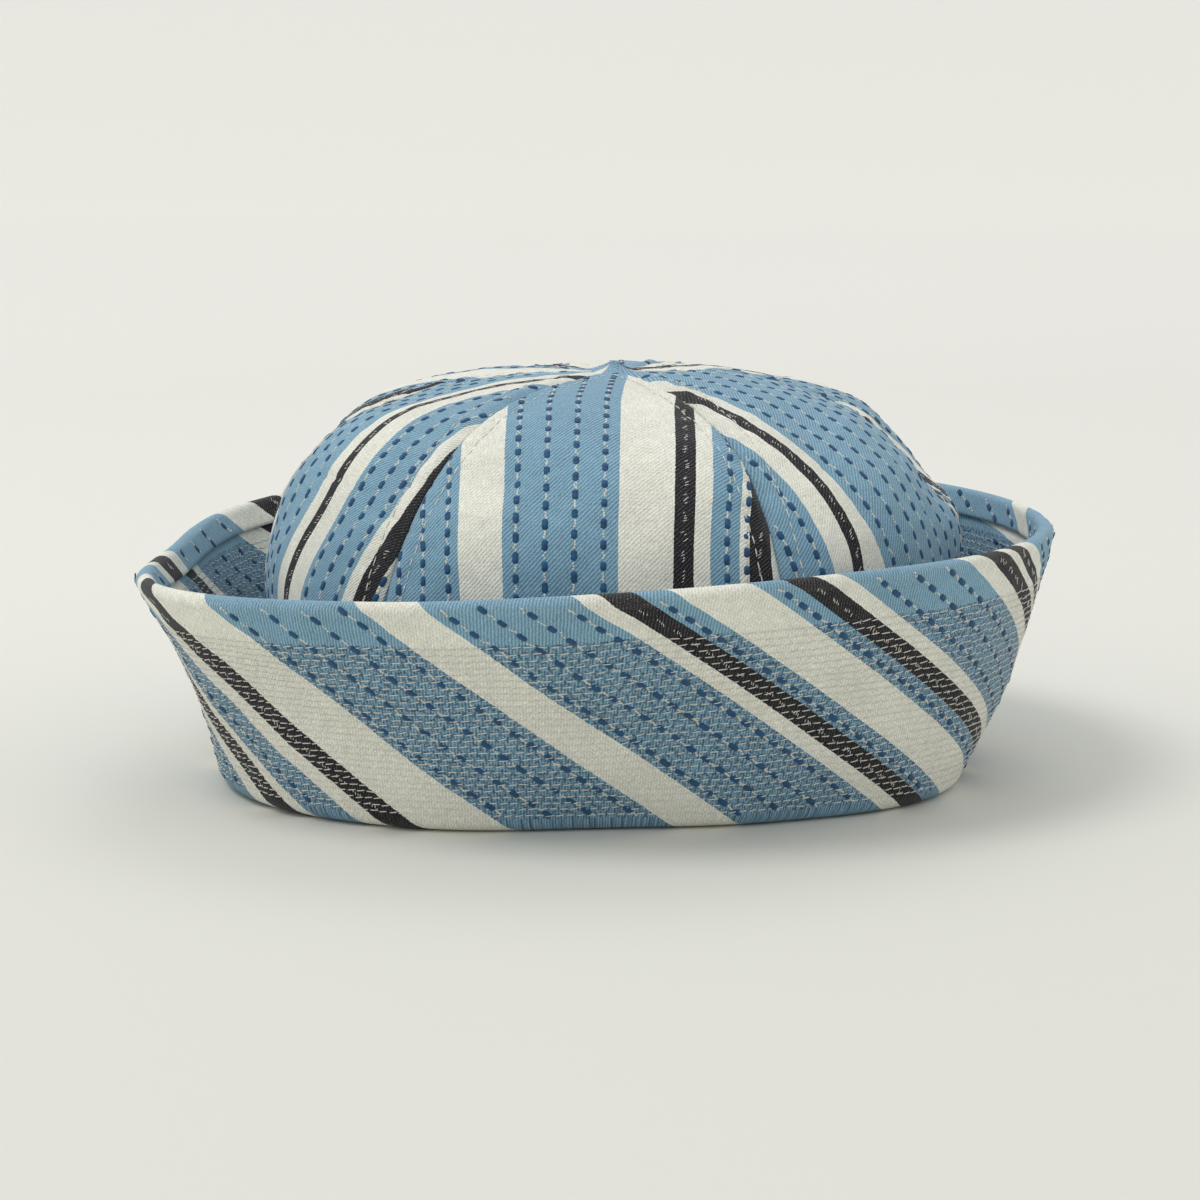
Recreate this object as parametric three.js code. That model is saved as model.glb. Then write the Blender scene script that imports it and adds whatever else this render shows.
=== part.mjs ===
// Sailor cap with a six-panel crown and a turned-up cuff.
// Millimetres, +Z up. The cap rests on its bottom fold at z = 0 and its front faces -Y.
// Azimuth is in degrees from the front, growing towards +X.
import * as THREE from "three";

// Driving sizes.
const foldRadius = 96.5; // mean plan radius of the bottom fold
const rimHeight = 63; // mean height of the cuff's rim
const rimLean = 23.5; // how far the rim stands out beyond the bottom fold
const crownHeight = 105.5; // top of the crown
const shoulderHeight = 43; // height where the crown is widest
const crownSquareness = 2.68; // 2 is a round dome, more is squarer
const outerCloth = 1.3; // thickness of the cuff's outer cloth
const innerCloth = 1.1; // thickness of the cuff's inner layer and of the wrapped edge
const crownCloth = 1.2; // thickness of the crown panels
const pieceGap = 0.3; // space between neighbouring pieces
const foldBend = 5; // outer radius of the bottom fold's bend
const hemWidth = 5; // flat strip inside the bottom fold
const wrapLength = 8; // how far the outer cloth comes down inside the rim
const cuffFlare = 0.22; // 0 is a straight cuff, more turns out near the rim
const panelBulge = 2.6; // how far each panel's middle stands out between its seams
const tipRise = 1.8; // raised lump where the panel tips meet
const tipRadius = 5.5; // radius of that lump
const apexShift = 3; // sideways offset of the crown's top
const tipHole = 0.7; // radius at which the panel tips end

// Mesh fineness.
const ringSteps = 64;
const wallSteps = 6;
const bendSteps = 4;
const panelColumns = 10;
const domeRows = 11;
const sideRows = 4;

// Plan of the cap: azimuth, then shares of foldRadius (fold, crown and the wall's belly), rimLean
// and rimHeight.
const planRows = [
  { azimuth: 0, fold: 0.871, crown: 0.932, lean: 1.26, height: 1.005, belly: 0 },
  { azimuth: 30, fold: 0.923, crown: 0.958, lean: 1.02, height: 1.043, belly: 0.01 },
  { azimuth: 60, fold: 1.046, crown: 0.964, lean: 0.72, height: 1.049, belly: 0.03 },
  { azimuth: 90, fold: 1.012, crown: 0.966, lean: 1.0, height: 1.04, belly: 0.045 },
  { azimuth: 120, fold: 1.02, crown: 0.995, lean: 0.98, height: 1.037, belly: 0.02 },
  { azimuth: 150, fold: 0.99, crown: 0.98, lean: 1.03, height: 1.041, belly: 0 },
  { azimuth: 180, fold: 0.969, crown: 0.945, lean: 1.05, height: 1.038, belly: 0 },
  { azimuth: 210, fold: 0.989, crown: 0.95, lean: 1.09, height: 1.008, belly: 0 },
  { azimuth: 240, fold: 1.017, crown: 0.945, lean: 0.98, height: 0.956, belly: -0.005 },
  { azimuth: 270, fold: 1.055, crown: 0.915, lean: 0.66, height: 0.913, belly: -0.01 },
  { azimuth: 300, fold: 1.1, crown: 0.955, lean: 1.0, height: 0.91, belly: -0.013 },
  { azimuth: 330, fold: 1.0, crown: 0.98, lean: 0.98, height: 0.951, belly: 0 },
];

// Crown seams: azimuth near the top and how far the seam turns on its way to the bottom edge.
const seamRows = [
  { azimuth: 28, turn: 1.5 },
  { azimuth: 88, turn: 0 },
  { azimuth: 148, turn: 1 },
  { azimuth: 208, turn: -1 },
  { azimuth: 268, turn: 0 },
  { azimuth: 328, turn: -4 },
];

// Soft swells and dents of the crown. rise is a share of foldRadius, down is 0 at the top and 1
// at the shoulder, turn and reach are the half widths in degrees and in down.
const crownForms = [
  { azimuth: 88, down: 0.62, rise: -0.04, turn: 13, reach: 0.2 },
  { azimuth: 116, down: 0.55, rise: 0.024, turn: 24, reach: 0.28 },
  { azimuth: 60, down: 0.86, rise: 0.012, turn: 26, reach: 0.3 },
  { azimuth: 345, down: 0.6, rise: -0.012, turn: 17, reach: 0.13 },
  { azimuth: 300, down: 0.55, rise: 0.014, turn: 24, reach: 0.25 },
  { azimuth: 262, down: 0.72, rise: -0.018, turn: 16, reach: 0.22 },
  { azimuth: 190, down: 0.7, rise: -0.02, turn: 22, reach: 0.25 },
  { azimuth: 236, down: 0.5, rise: 0.016, turn: 22, reach: 0.25 },
];

const radians = (degrees) => (degrees * Math.PI) / 180;
const mix = (a, b, t) => a + (b - a) * t;

// Smooth closed curve through a plan column.
function planShare(column, azimuth) {
  const count = planRows.length;
  const place = ((((azimuth % 360) + 360) % 360) / 360) * count;
  const row = Math.floor(place);
  const t = place - row;
  const value = (offset) => planRows[(row + offset + count) % count][column];
  const [before, from, to, after] = [value(-1), value(0), value(1), value(2)];
  const startSlope = (to - before) / 2;
  const endSlope = (after - from) / 2;
  const t2 = t * t;
  const t3 = t2 * t;
  return (
    from * (2 * t3 - 3 * t2 + 1) +
    startSlope * (t3 - 2 * t2 + t) +
    to * (3 * t2 - 2 * t3) +
    endSlope * (t3 - t2)
  );
}

const foldAt = (azimuth) => foldRadius * planShare("fold", azimuth);

// Place in space of a point at a plan radius, an azimuth and a height.
function place(radius, azimuth, height) {
  const angle = radians(azimuth);
  return new THREE.Vector3(radius * Math.sin(angle), -radius * Math.cos(angle), height);
}

// Closed mesh from vertices and triangles.
function solid(name, points, faces, colour, roughness) {
  const geometry = new THREE.BufferGeometry();
  const numbers = points.flatMap((point) => [point.x, point.y, point.z]);
  geometry.setAttribute("position", new THREE.Float32BufferAttribute(numbers, 3));
  geometry.setIndex(faces);
  geometry.computeVertexNormals();
  const material = new THREE.MeshStandardMaterial({ color: colour, roughness, metalness: 0 });
  const mesh = new THREE.Mesh(geometry, material);
  mesh.name = name;
  return mesh;
}

// Cuff.

const rimWidth = outerCloth + 2 * innerCloth + 2 * pieceGap;

// The wall's foot, top and tilt at one azimuth. The tilt is the angle from upright at the foot.
function wallFrame(azimuth) {
  const lean = rimLean * planShare("lean", azimuth);
  const top = rimHeight * planShare("height", azimuth) - rimWidth / 2;
  const belly = foldRadius * planShare("belly", azimuth);
  const tilt = Math.atan2(lean * (1 - cuffFlare) + 4 * belly, top);
  const footRadius = foldAt(azimuth) - foldBend * (1 - Math.cos(tilt));
  const footHeight = foldBend * (1 - Math.sin(tilt));
  return { lean, belly, top, tilt, footRadius, footHeight };
}

// Outer face of the cuff's wall at one azimuth, share 0 at the bottom bend and 1 below the rim's
// rounding, moved inwards by depth. Gives [radius, height].
function wallPoint(azimuth, share, depth) {
  const { lean, belly, top, footRadius, footHeight } = wallFrame(azimuth);
  const bellyOut = 4 * belly * share * (1 - share);
  const radius = footRadius + lean * mix(share, share ** 2, cuffFlare) + bellyOut;
  const height = mix(footHeight, top, share);
  const slopeOut = lean * mix(1, 2 * share, cuffFlare) + 4 * belly * (1 - 2 * share);
  const slopeUp = top - footHeight;
  const length = Math.hypot(slopeOut, slopeUp);
  return [radius - (depth * slopeUp) / length, height + (depth * slopeOut) / length];
}

// Share of the wall at a distance below its top.
function shareBelowTop(azimuth, distance) {
  const [topRadius, topHeight] = wallPoint(azimuth, 1, 0);
  const [footRadius, footHeight] = wallPoint(azimuth, 0, 0);
  return 1 - distance / Math.hypot(topRadius - footRadius, topHeight - footHeight);
}

// Bottom bend, from fromAngle below level up to the wall's foot, inside the outer face by depth.
function bendPoints(azimuth, depth, fromAngle) {
  const points = [];
  const { tilt } = wallFrame(azimuth);
  const radius = foldBend - depth;
  for (let step = 0; step < bendSteps; step += 1) {
    const angle = mix(radians(fromAngle), -tilt, step / bendSteps);
    points.push([
      foldAt(azimuth) - foldBend + radius * Math.cos(angle),
      foldBend + radius * Math.sin(angle),
    ]);
  }
  return points;
}

// Points up a wall face between two shares.
function facePoints(azimuth, depth, fromShare, toShare, steps) {
  const points = [];
  for (let step = 0; step <= steps; step += 1) {
    points.push(wallPoint(azimuth, mix(fromShare, toShare, step / steps), depth));
  }
  return points;
}

function outerSection(azimuth) {
  const hemEdge = foldAt(azimuth) - foldBend - hemWidth;
  const wrapShare = shareBelowTop(azimuth, wrapLength);
  const slotDepth = rimWidth - innerCloth;
  const [outRadius, outHeight] = wallPoint(azimuth, 1, 0);
  const [inRadius, inHeight] = wallPoint(azimuth, 1, rimWidth);
  const centre = [(outRadius + inRadius) / 2, (outHeight + inHeight) / 2];
  const across = [(outRadius - inRadius) / 2, (outHeight - inHeight) / 2];
  const rim = [];
  for (let step = 1; step < bendSteps; step += 1) {
    const angle = Math.PI * (step / bendSteps);
    rim.push([
      centre[0] + across[0] * Math.cos(angle) - across[1] * Math.sin(angle),
      centre[1] + across[1] * Math.cos(angle) + across[0] * Math.sin(angle),
    ]);
  }
  return [
    [hemEdge, 0],
    ...bendPoints(azimuth, 0, -90),
    ...facePoints(azimuth, 0, 0, 1, wallSteps),
    ...rim,
    ...facePoints(azimuth, rimWidth, 1, wrapShare, 1),
    ...facePoints(azimuth, slotDepth, wrapShare, 1, 1),
    ...facePoints(azimuth, outerCloth, 1, 0, wallSteps),
    ...bendPoints(azimuth, outerCloth, -90).reverse(),
    [hemEdge, outerCloth],
  ];
}

function innerSection(azimuth) {
  const near = outerCloth + pieceGap;
  const far = near + innerCloth;
  const topShare = shareBelowTop(azimuth, pieceGap);
  return [
    ...bendPoints(azimuth, near, -60),
    ...facePoints(azimuth, near, 0, topShare, wallSteps),
    ...facePoints(azimuth, far, topShare, 0, wallSteps),
    ...bendPoints(azimuth, far, -60).reverse(),
  ];
}

// Ring swept round the cap from a closed section given at each azimuth.
function ring(name, sectionAt, colour, roughness) {
  const points = [];
  const faces = [];
  const size = sectionAt(0).length;
  for (let step = 0; step < ringSteps; step += 1) {
    const azimuth = (360 * step) / ringSteps;
    for (const [radius, height] of sectionAt(azimuth)) {
      points.push(place(radius, azimuth, height));
    }
  }
  for (let step = 0; step < ringSteps; step += 1) {
    const here = step * size;
    const next = ((step + 1) % ringSteps) * size;
    for (let corner = 0; corner < size; corner += 1) {
      const up = (corner + 1) % size;
      faces.push(here + corner, next + corner, next + up);
      faces.push(here + corner, next + up, here + up);
    }
  }
  return solid(name, points, faces, colour, roughness);
}

// Crown.

const crownFoot = outerCloth + pieceGap;
const crownBaseInset = foldBend + 0.5;

// Height of a soft swell that falls to nothing at one half width.
function swell(distance, halfWidth) {
  const share = Math.min(Math.abs(distance) / halfWidth, 1);
  return Math.cos((share * Math.PI) / 2) ** 2;
}

function turnBetween(a, b) {
  return ((((a - b) % 360) + 540) % 360) - 180;
}

// Outer face of the crown. down is 0 at the top, 1 at the shoulder and 2 at the bottom edge,
// across is 0 and 1 at the panel's seams.
function crownPoint(azimuth, down, across) {
  const widest = foldRadius * planShare("crown", azimuth);
  const bulge = panelBulge * (1 - (2 * across - 1) ** 2);
  let radius;
  let height;
  let rise = 0;
  for (const form of crownForms) {
    const turned = swell(turnBetween(azimuth, form.azimuth), form.turn);
    rise += foldRadius * form.rise * turned * swell(down - form.down, form.reach);
  }
  if (down <= 1) {
    const angle = (down * Math.PI) / 2;
    const out = Math.sin(angle) ** (2 / crownSquareness);
    const up = Math.cos(angle) ** (2 / crownSquareness);
    radius = (widest + bulge) * out;
    height = mix(shoulderHeight, crownHeight, up);
    radius += rise * out;
    height += (rise + bulge * out) * up;
    height += tipRise * swell(radius, tipRadius);
  } else {
    const fall = down - 1;
    const base = foldAt(azimuth) - crownBaseInset;
    radius = mix(widest + bulge, base, fall ** 2 * (3 - 2 * fall)) + rise * (1 - fall);
    height = mix(shoulderHeight, crownFoot, fall);
  }
  const shift = apexShift * Math.max(0, 1 - radius / foldRadius);
  const point = place(radius, azimuth, height);
  point.x += shift;
  return point;
}

// Azimuth of a seam, counted from 0, on its way down.
function seamAt(seam, down) {
  const row = seamRows[seam % seamRows.length];
  const rounds = Math.floor(seam / seamRows.length);
  return row.azimuth + 360 * rounds + row.turn * Math.min(down, 1) ** 2;
}

function panel(index, colour, roughness) {
  const firstDown = downAtRadius(tipHole);
  const downs = [];
  for (let row = 0; row <= domeRows; row += 1) {
    downs.push(mix(firstDown, 1, (row / domeRows) ** 1.15));
  }
  for (let row = 1; row <= sideRows; row += 1) {
    downs.push(1 + row / sideRows);
  }
  const pointAt = (down, across) => {
    const azimuth = mix(seamAt(index - 1, down), seamAt(index, down), across);
    const centre = crownPoint(azimuth, down, across);
    const radius = Math.hypot(centre.x, centre.y);
    const trim = (pieceGap / 2) * (2 * across - 1);
    const angle = radians(azimuth);
    centre.x -= trim * Math.cos(angle) * Math.min(1, radius / tipHole);
    centre.y -= trim * Math.sin(angle) * Math.min(1, radius / tipHole);
    return centre;
  };
  const step = 0.004;
  const normalAt = (down, across) => {
    const low = Math.max(down - step, firstDown);
    const high = Math.min(down + step, 2);
    const left = Math.max(across - step, 0);
    const right = Math.min(across + step, 1);
    const alongDown = pointAt(high, across).sub(pointAt(low, across));
    const alongAcross = pointAt(down, right).sub(pointAt(down, left));
    return alongDown.cross(alongAcross).normalize();
  };
  const outer = [];
  const inner = [];
  downs.forEach((down) => {
    for (let column = 0; column <= panelColumns; column += 1) {
      const across = column / panelColumns;
      const point = pointAt(down, across);
      const normal = normalAt(down, across);
      if (down > 1) {
        const level = Math.min(1, (down - 1) * 2);
        normal.z *= 1 - level;
        normal.normalize();
      }
      outer.push(point);
      inner.push(point.clone().addScaledVector(normal, -crownCloth));
    }
  });
  return panelSolid(`crown_panel_${index}`, outer, inner, downs.length, colour, roughness);
}

// Closed shell from an outer and an inner grid of points.
function panelSolid(name, outer, inner, rows, colour, roughness) {
  const columns = panelColumns + 1;
  const faces = [];
  const far = outer.length;
  const at = (row, column) => row * columns + column;
  const quad = (a, b, c, d) => faces.push(a, b, c, a, c, d);
  for (let row = 0; row < rows - 1; row += 1) {
    for (let column = 0; column < columns - 1; column += 1) {
      const corners = [at(row, column), at(row + 1, column), at(row + 1, column + 1), at(row, column + 1)];
      quad(...corners);
      quad(...corners.reverse().map((corner) => corner + far));
    }
    const last = columns - 1;
    quad(at(row + 1, 0), at(row, 0), at(row, 0) + far, at(row + 1, 0) + far);
    quad(at(row, last), at(row + 1, last), at(row + 1, last) + far, at(row, last) + far);
  }
  for (let column = 0; column < columns - 1; column += 1) {
    const foot = rows - 1;
    quad(at(0, column), at(0, column + 1), at(0, column + 1) + far, at(0, column) + far);
    quad(at(foot, column + 1), at(foot, column), at(foot, column) + far, at(foot, column + 1) + far);
  }
  return solid(name, [...outer, ...inner], faces, colour, roughness);
}

// Place down the dome at which it has a given plan radius.
function downAtRadius(radius) {
  return (Math.asin((radius / foldRadius) ** (crownSquareness / 2)) * 2) / Math.PI;
}

const blue = 0x7fa6c4;
const paleBlue = 0x8fb2cc;
const cap = new THREE.Group();
cap.name = "sailor_cap";
for (let index = 1; index <= seamRows.length; index += 1) {
  cap.add(panel(index, index % 2 ? blue : paleBlue, 0.9));
}
cap.add(ring("cuff_outer", outerSection, blue, 0.9));
cap.add(ring("cuff_inner", innerSection, paleBlue, 0.9));

// Centre the whole cap over the origin.
const box = new THREE.Box3().setFromObject(cap);
const middle = box.getCenter(new THREE.Vector3());
for (const mesh of cap.children) {
  mesh.geometry.translate(-middle.x, -middle.y, 0);
}

export default cap;
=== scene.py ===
# %% [markdown]
# # A striped sailor cap
# A sailor cap is a bowl of six cloth panels inside a tall turned-up cuff. Its skin carries everything that the
# eye reads: woven stripes, small floating dashes, seams with topstitching, and a cuff that is quilted all round
# in close rows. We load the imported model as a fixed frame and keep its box, to compare it with ours at the end.

# %% Load the frame
import math
import bmesh
import bpy
import numpy as np
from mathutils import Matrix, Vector


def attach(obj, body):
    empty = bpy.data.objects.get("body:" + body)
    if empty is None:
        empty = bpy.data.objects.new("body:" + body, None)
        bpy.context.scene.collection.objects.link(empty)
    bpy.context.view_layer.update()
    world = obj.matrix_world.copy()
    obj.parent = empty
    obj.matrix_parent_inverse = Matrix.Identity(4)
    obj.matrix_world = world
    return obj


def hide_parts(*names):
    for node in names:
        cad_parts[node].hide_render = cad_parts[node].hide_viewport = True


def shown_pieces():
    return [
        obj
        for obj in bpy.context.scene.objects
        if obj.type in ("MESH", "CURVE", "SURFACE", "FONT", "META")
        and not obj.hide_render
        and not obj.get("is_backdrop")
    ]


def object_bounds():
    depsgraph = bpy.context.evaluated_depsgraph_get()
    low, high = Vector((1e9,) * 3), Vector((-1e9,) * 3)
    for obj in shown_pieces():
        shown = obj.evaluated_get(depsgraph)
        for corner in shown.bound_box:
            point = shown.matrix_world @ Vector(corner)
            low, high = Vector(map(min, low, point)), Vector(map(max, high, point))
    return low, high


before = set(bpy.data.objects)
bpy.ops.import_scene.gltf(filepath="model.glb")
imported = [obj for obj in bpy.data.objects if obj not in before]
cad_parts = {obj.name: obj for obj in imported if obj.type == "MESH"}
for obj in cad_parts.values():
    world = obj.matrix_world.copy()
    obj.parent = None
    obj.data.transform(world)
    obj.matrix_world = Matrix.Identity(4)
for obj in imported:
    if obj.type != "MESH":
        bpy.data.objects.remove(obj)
cad_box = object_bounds()
print("nodes:", sorted(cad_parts))

# %% [markdown]
# ## The camera
# The cap is seen from straight ahead and a little above, through a long lens, so that it shows little
# perspective. A lens is set by its focal length on a sensor; 95 mm on a 36 mm sensor is a portrait lens.

# %% Camera
CAMERA_PLACE = Vector((-0.00095, -0.84187, 0.19042))
CAMERA_AIM = Vector((-0.00095, -0.00216, 0.04341))


def place_in_scene(name, data, place=(0, 0, 0), aim=None):
    """An object that holds the data, turned to face the aim where one is given."""
    made = bpy.data.objects.new(name, data)
    made.location = place
    if aim is not None:
        made.rotation_mode = "QUATERNION"
        made.rotation_quaternion = (Vector(aim) - Vector(place)).to_track_quat("-Z", "Y")
    bpy.context.scene.collection.objects.link(made)
    return made


camera_lens = bpy.data.cameras.new("camera")
camera_lens.lens, camera_lens.sensor_width, camera_lens.clip_end = 94.56, 36.0, 100.0
bpy.context.scene.camera = place_in_scene("camera", camera_lens, CAMERA_PLACE, CAMERA_AIM)
print("camera is", round((CAMERA_AIM - CAMERA_PLACE).length, 3), "m from the cap")

# %% [markdown]
# ## The cap's shape as formulas
# The cloth could be sculpted by hand, but the frame was drawn from a few formulas: a plan that varies round the
# head, a wall that leans out, and a crown curve. The same formulas give a much finer mesh here, and they also
# say where each stitch lies. Everything is in millimetres until the mesh is made.

# %% Sizes of the cap
FOLD_RADIUS, RIM_HEIGHT, RIM_LEAN = 96.5, 63.0, 23.5
CROWN_HEIGHT, SHOULDER_HEIGHT, CROWN_SQUARENESS = 105.5, 43.0, 2.68
OUTER_CLOTH, INNER_CLOTH, CROWN_CLOTH, PIECE_GAP = 1.3, 1.1, 1.2, 0.3
FOLD_BEND, HEM_WIDTH, WRAP_LENGTH, CUFF_FLARE = 5.0, 5.0, 5.8, 0.22
PANEL_BULGE, TIP_RISE, TIP_RADIUS, APEX_SHIFT = 2.6, 1.8, 5.5, 3.0
RIM_WIDTH = OUTER_CLOTH + 2 * INNER_CLOTH + 2 * PIECE_GAP
PLAN_CENTRE = np.array([0.427, 2.159, 0.0])
PLAN = {
    "fold": [.871, .923, 1.046, 1.012, 1.02, .99, .969, .989, 1.017, 1.055, 1.1, 1.0],
    "crown": [.932, .958, .964, .966, .995, .98, .945, .95, .945, .915, .955, .98],
    "lean": [1.26, 1.02, .72, 1.0, .98, 1.03, 1.05, 1.09, .98, .66, 1.0, .98],
    "height": [1.005, 1.043, 1.049, 1.04, 1.037, 1.041, 1.038, 1.008, .956, .913, .91, .951],
    "belly": [0, .01, .03, .045, .02, 0, 0, 0, -.005, -.01, -.013, 0],
}
SEAMS = [(26.6, 2.9), (88, 0), (148, 1), (208, -1), (268, 0), (329.8, -5.8)]
CROWN_FORMS = [
    (88, .62, -.04, 13, .2), (116, .55, .024, 24, .28), (60, .86, .012, 26, .3), (345, .6, -.012, 17, .13),
    (300, .55, .014, 24, .25), (262, .72, -.018, 16, .22), (190, .7, -.02, 22, .25), (236, .5, .016, 22, .25),
    (92, .85, .036, 26, .17), (84, .69, -.014, 13, .1),
]
print("layers at the rim are", round(RIM_WIDTH, 2), "mm thick together")


# %% Curves and places
def mix(a, b, t):
    return a + (b - a) * t


def ease(t):
    return t**2 * (3 - 2 * t)


def swell(distance, width):
    """One in the middle, falling softly to zero at that width."""
    return np.cos(np.minimum(np.abs(distance) / width, 1) * np.pi / 2) ** 2


def unit(vectors):
    return vectors / np.linalg.norm(vectors, axis=-1, keepdims=True)


def pile(*parts):
    """Numbers, or grids of numbers, put together as points."""
    return np.stack(np.broadcast_arrays(*parts), -1)


def run_along(line):
    """The distance along a line of points, from its first one."""
    return np.concatenate([[0], np.cumsum(np.linalg.norm(np.diff(line, axis=0), axis=1))])


def plan_share(column, azimuth):
    """A plan column read round the head, smoothly between its twelve rows."""
    rows = np.array(PLAN[column])
    place = (np.asarray(azimuth, float) % 360) / 360 * len(rows)
    row = np.floor(place).astype(int)
    t = place - row
    before, here, there, after = (rows[(row + k) % len(rows)] for k in (-1, 0, 1, 2))
    return (here * (2 * t**3 - 3 * t**2 + 1) + (there - before) / 2 * (t**3 - 2 * t**2 + t)
            + there * (3 * t**2 - 2 * t**3) + (after - here) / 2 * (t**3 - t**2))


def round_place(radius, azimuth, height):
    turn = np.radians(azimuth)
    return pile(radius * np.sin(turn), -radius * np.cos(turn), height)


print("opening about", round(2 * math.pi * (FOLD_RADIUS - FOLD_BEND)), "mm round")

# %% [markdown]
# ## Small unevenness
# Sewn cloth is never exactly smooth. A sum of a few slow waves in seeded random directions gives the same gentle
# unevenness on every run, and because it reads the place in space, it has no join anywhere round the cap.

# %% Unevenness
def wander(points, length, seed):
    """Smooth unevenness from about -1 to 1, with waves of about that length in millimetres."""
    draw = np.random.default_rng(seed)
    total = np.zeros(points.shape[:-1])
    for _ in range(9):
        way = draw.normal(size=3)
        way *= 2 * np.pi / (length * draw.uniform(.7, 1.5)) / np.linalg.norm(way)
        total += np.sin(points @ way + draw.uniform(0, 2 * np.pi))
    return total / 3.2


print("unevenness at one place:", wander(np.zeros((1, 3)), 20.0, 1).round(3))

# %% [markdown]
# ## The cuff as a surface
# The cuff starts at the fold on the table, leans out, and rolls over at the rim. `wall_place` gives a point of
# it for an azimuth, a share of the height and a depth inside the cloth. Slant and girth are measured along the
# cloth, upward and round, because stitches and stripes keep their size on cloth, not in space.

# %% Cuff wall
ROUND = np.linspace(-180, 180, 1441)


def wall_frame(azimuth):
    """The wall's lean, belly, top and tilt, and the radius and height of its foot."""
    lean = RIM_LEAN * plan_share("lean", azimuth)
    belly = FOLD_RADIUS * plan_share("belly", azimuth)
    top = RIM_HEIGHT * plan_share("height", azimuth) - RIM_WIDTH / 2
    tilt = np.arctan2(lean * (1 - CUFF_FLARE) + 4 * belly, top)
    fold = FOLD_RADIUS * plan_share("fold", azimuth)
    return lean, belly, top, tilt, fold - FOLD_BEND * (1 - np.cos(tilt)), FOLD_BEND * (1 - np.sin(tilt))


def wall_point(azimuth, share, depth=0.0):
    """Radius and height of the wall, so deep inside its outer face."""
    lean, belly, top, _, foot_radius, foot_height = wall_frame(azimuth)
    radius = foot_radius + lean * mix(share, share**2, CUFF_FLARE) + 4 * belly * share * (1 - share)
    out = lean * mix(1, 2 * share, CUFF_FLARE) + 4 * belly * (1 - 2 * share)
    up = top - foot_height
    length = np.hypot(out, up)
    return radius - depth * up / length, mix(foot_height, top, share) + depth * out / length


def wall_place(azimuth, share, depth=0.0):
    radius, height = wall_point(azimuth, share, depth)
    return round_place(radius, azimuth, height)


def slant_length(azimuth):
    lean, _, top, _, _, foot_height = wall_frame(azimuth)
    return np.hypot(lean, top - foot_height)


MIDDLE_GIRTH = run_along(wall_place(ROUND, .5))
MIDDLE_GIRTH -= np.interp(0, ROUND, MIDDLE_GIRTH)
CUFF_ROUND = np.ptp(MIDDLE_GIRTH)


def girth_at(azimuth):
    """Distance round the cuff at half its height, zero at the front."""
    turned = (np.asarray(azimuth, float) + 180) % 360 - 180
    return np.interp(turned, ROUND, MIDDLE_GIRTH)


print("cuff is", round(float(CUFF_ROUND)), "mm round at half its height")

# %% [markdown]
# ## Quilting
# The cuff is stiffened by close rows of stitches all the way round, up to a plain band under the rim. Each row
# pulls the cloth into a shallow groove, and each stitch pinches it at its two ends, so that the cloth between
# puffs up like small bricks. A bump map could fake it, but low light along the cuff shows real relief, so the
# grooves are in the mesh and the threads lie in them.

# %% Quilting relief
ROW_SPACING, TOP_ROW_SHARE, STITCHES_ROUND, ROW_OFFSET = 1.94, 0.835, 236, 0.37
GROOVE_DEPTH, BRICK_PUFF, FADE_ROWS = 0.18, 0.1, 0.6
OUTER_SEED, INNER_SEED = 11, 51
ROWS_PER_SHARE = slant_length(ROUND).mean() / ROW_SPACING


def row_of(share):
    """Which row of quilting a place is on, counted down from the top row."""
    return (TOP_ROW_SHARE - share) * ROWS_PER_SHARE


def stitch_of(azimuth, row=0):
    """Which stitch of that row a place is on; whole numbers are the stitch ends."""
    return girth_at(azimuth) / CUFF_ROUND * STITCHES_ROUND + ROW_OFFSET * row


def quilted(azimuth, share, points, seed):
    """How far the cloth stands out: grooves and bricks below the top row, a plain band above, all uneven."""
    row = row_of(share)
    on = np.clip((row + FADE_ROWS) / FADE_ROWS, 0, 1)
    between = np.sin(np.pi * row) ** 2
    brick = -np.cos(2 * np.pi * stitch_of(azimuth, np.round(row)))
    band = .16 * wander(points, 7.0, seed) * (1 - on)
    uneven = .42 * wander(points, 34.0, seed + 1) + .12 * wander(points, 12.0, seed + 2)
    return on * (GROOVE_DEPTH * (between - .6) + BRICK_PUFF * between * brick) + band + uneven


def cuff_face(azimuth, share, depth=0.0):
    """A point on the quilted cloth: on the outer face, or on the inner one where depth is given."""
    azimuth, share = np.broadcast_arrays(np.asarray(azimuth, float), np.asarray(share, float))
    side, seed = (1.0, OUTER_SEED) if depth == 0 else (-1.0, INNER_SEED)
    relief = quilted(azimuth, share, wall_place(azimuth, share, depth), seed)
    return wall_place(azimuth, share, depth - side * relief)


print("rows of quilting:", int(row_of(0.0)) + 1)

# %% [markdown]
# ## The stripes' own coordinates
# Cloth is striped before it is cut. So each piece carries a UV map in millimetres of cloth, with U across the
# stripes and V along them. The cuff was cut at a slant: its stripes climb to the left at about forty degrees,
# a little steeper on the left than on the right, which two gentle cross terms give.

# %% Cuff cloth coordinates
BEND_REACH = 110.0


def cuff_cloth(azimuth, slant):
    girth = girth_at(azimuth)
    near = BEND_REACH * np.tanh(girth / BEND_REACH)
    across = -2.99 + .572 * girth + .7686 * slant + .002416 * near * slant + .000256 * near**2
    return pile(across, -.75 * girth + .66 * slant)


print("cloth at the front of the fold:", cuff_cloth(0.0, 0.0).round(1))

# %% [markdown]
# ## The crown as a surface
# Each panel runs from the tip, over the shoulder and down behind the cuff. A cloth simulation could drape it, but
# this cap has its own soft swellings and hollows, and a table of them gives the same ones every time.
# `crown_point` takes an azimuth, how far down the panel, and how far across it.

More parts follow.
